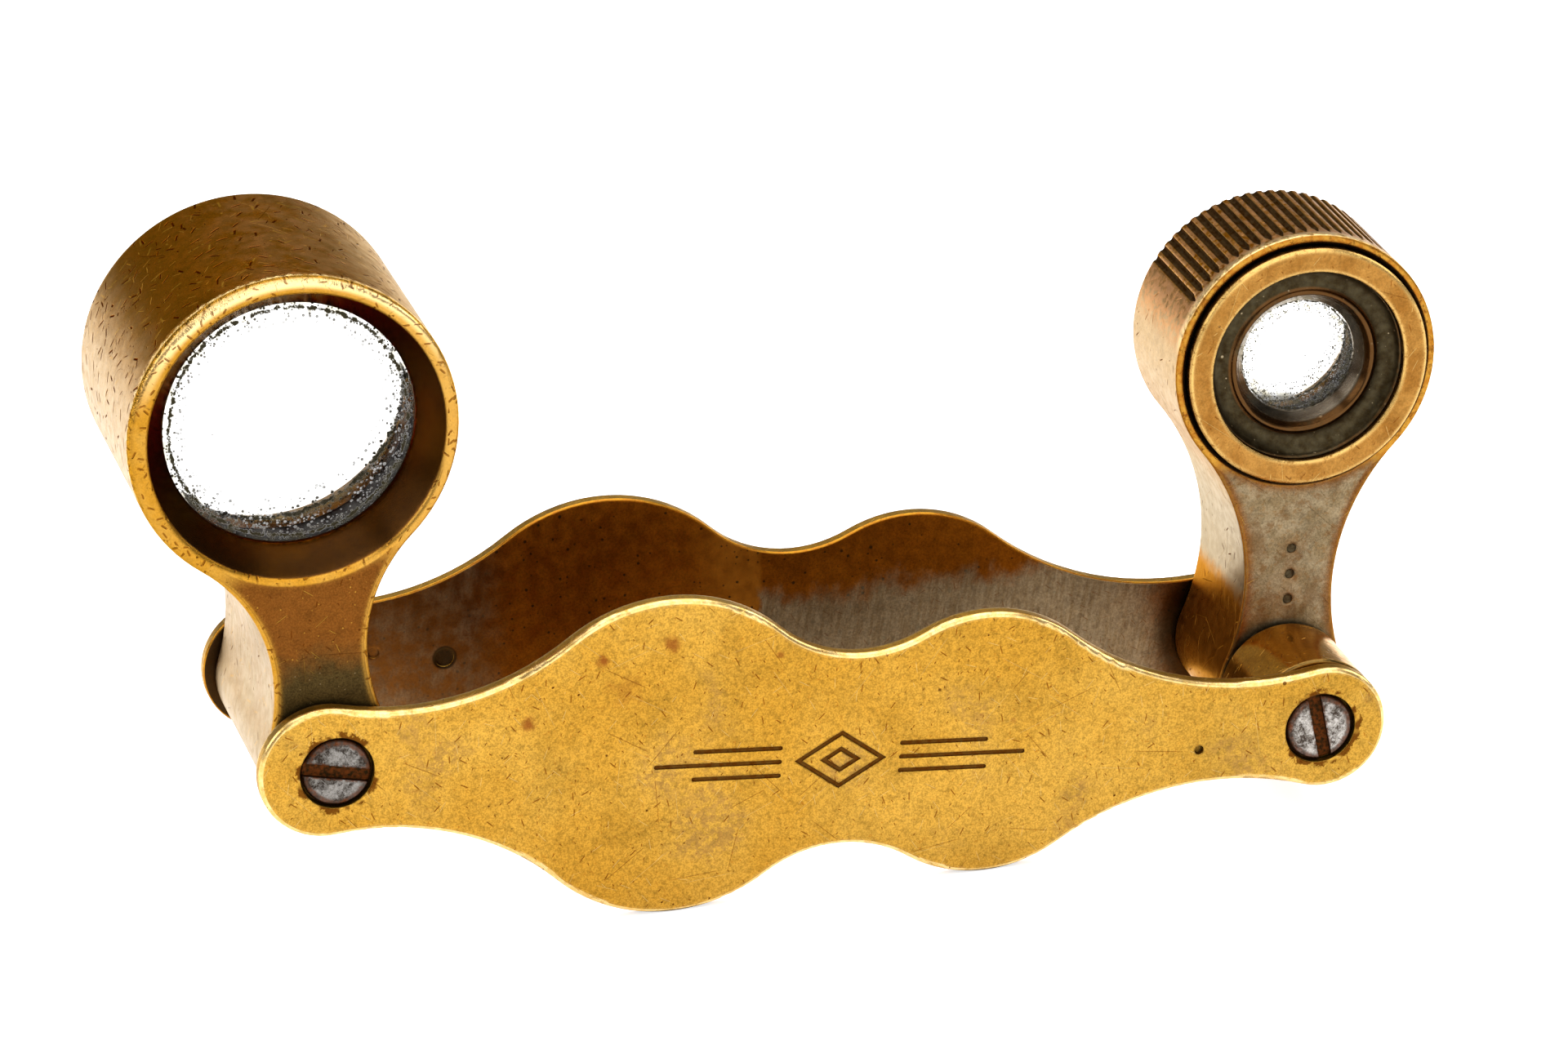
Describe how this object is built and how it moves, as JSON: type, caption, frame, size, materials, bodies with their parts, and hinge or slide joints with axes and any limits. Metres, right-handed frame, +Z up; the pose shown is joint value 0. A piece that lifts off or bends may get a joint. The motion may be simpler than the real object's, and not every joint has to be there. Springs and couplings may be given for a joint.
{
  "type": "folding double loupe",
  "caption": "Folding brass pocket loupe: two scalloped plates with a large and a small lens head, each swinging out on an end pivot.",
  "frame": {"origin": "on the ground, in the middle of the length and depth of the loupe with both heads raised", "axes": "+X along the case from the large head to the small one, +Y from the front plate to the rear plate, +Z up"},
  "size_m": [0.083, 0.0176, 0.0431],
  "materials": {
    "plate_brass": "satin, worn and mottled, bright along the edges",
    "rear_brass": "satin, dark brown patina inside",
    "arm_brass": "brown patina, bright along the edges",
    "small_arm_brass": "tan and grey-brown patina, bright along the edges",
    "spacer_brass": "polished, brown patina",
    "cell_brass": "satin gold",
    "blackened_brass": "matt black, brown where worn",
    "ring_brass": "dull brown",
    "screw_steel": "grey, mottled, rust brown in the slots",
    "washer_steel": "dull grey",
    "lens_glass": "clear, dusty at the rim"
  },
  "bodies": {
    "case": {"front_plate": "plate_brass", "rear_plate": "rear_brass", "large_pivot_post": "screw_steel", "small_pivot_post": "screw_steel", "pivot_screws": "screw_steel", "large_front_washer": "washer_steel", "large_rear_washer": "washer_steel", "small_front_washer": "washer_steel", "small_rear_washer": "washer_steel", "small_arm_spacer": "spacer_brass"},
    "large_arm": {"large_arm": "arm_brass", "large_lens_cell": "blackened_brass", "large_front_element": "lens_glass", "large_centre_element": "lens_glass", "large_rear_element": "lens_glass", "large_retaining_ring": "ring_brass"},
    "small_arm": {"small_arm": "small_arm_brass", "small_lens_cell": "cell_brass", "small_light_shield": "blackened_brass", "small_front_element": "lens_glass", "small_centre_element": "lens_glass", "small_rear_element": "lens_glass", "small_retaining_ring": "ring_brass"}
  },
  "joints": [
    {"name": "large_arm_hinge", "type": "hinge", "parent": "case", "child": "large_arm", "pos_m": [-0.03009, 0, 0.01198], "axis": [0, 1, 0], "range_deg": [-81.8, 98.2]},
    {"name": "small_arm_hinge", "type": "hinge", "parent": "case", "child": "small_arm", "pos_m": [0.03169, 0, 0.00675], "axis": [0, 1, 0], "range_deg": [-88.9, 91.1]}
  ]
}
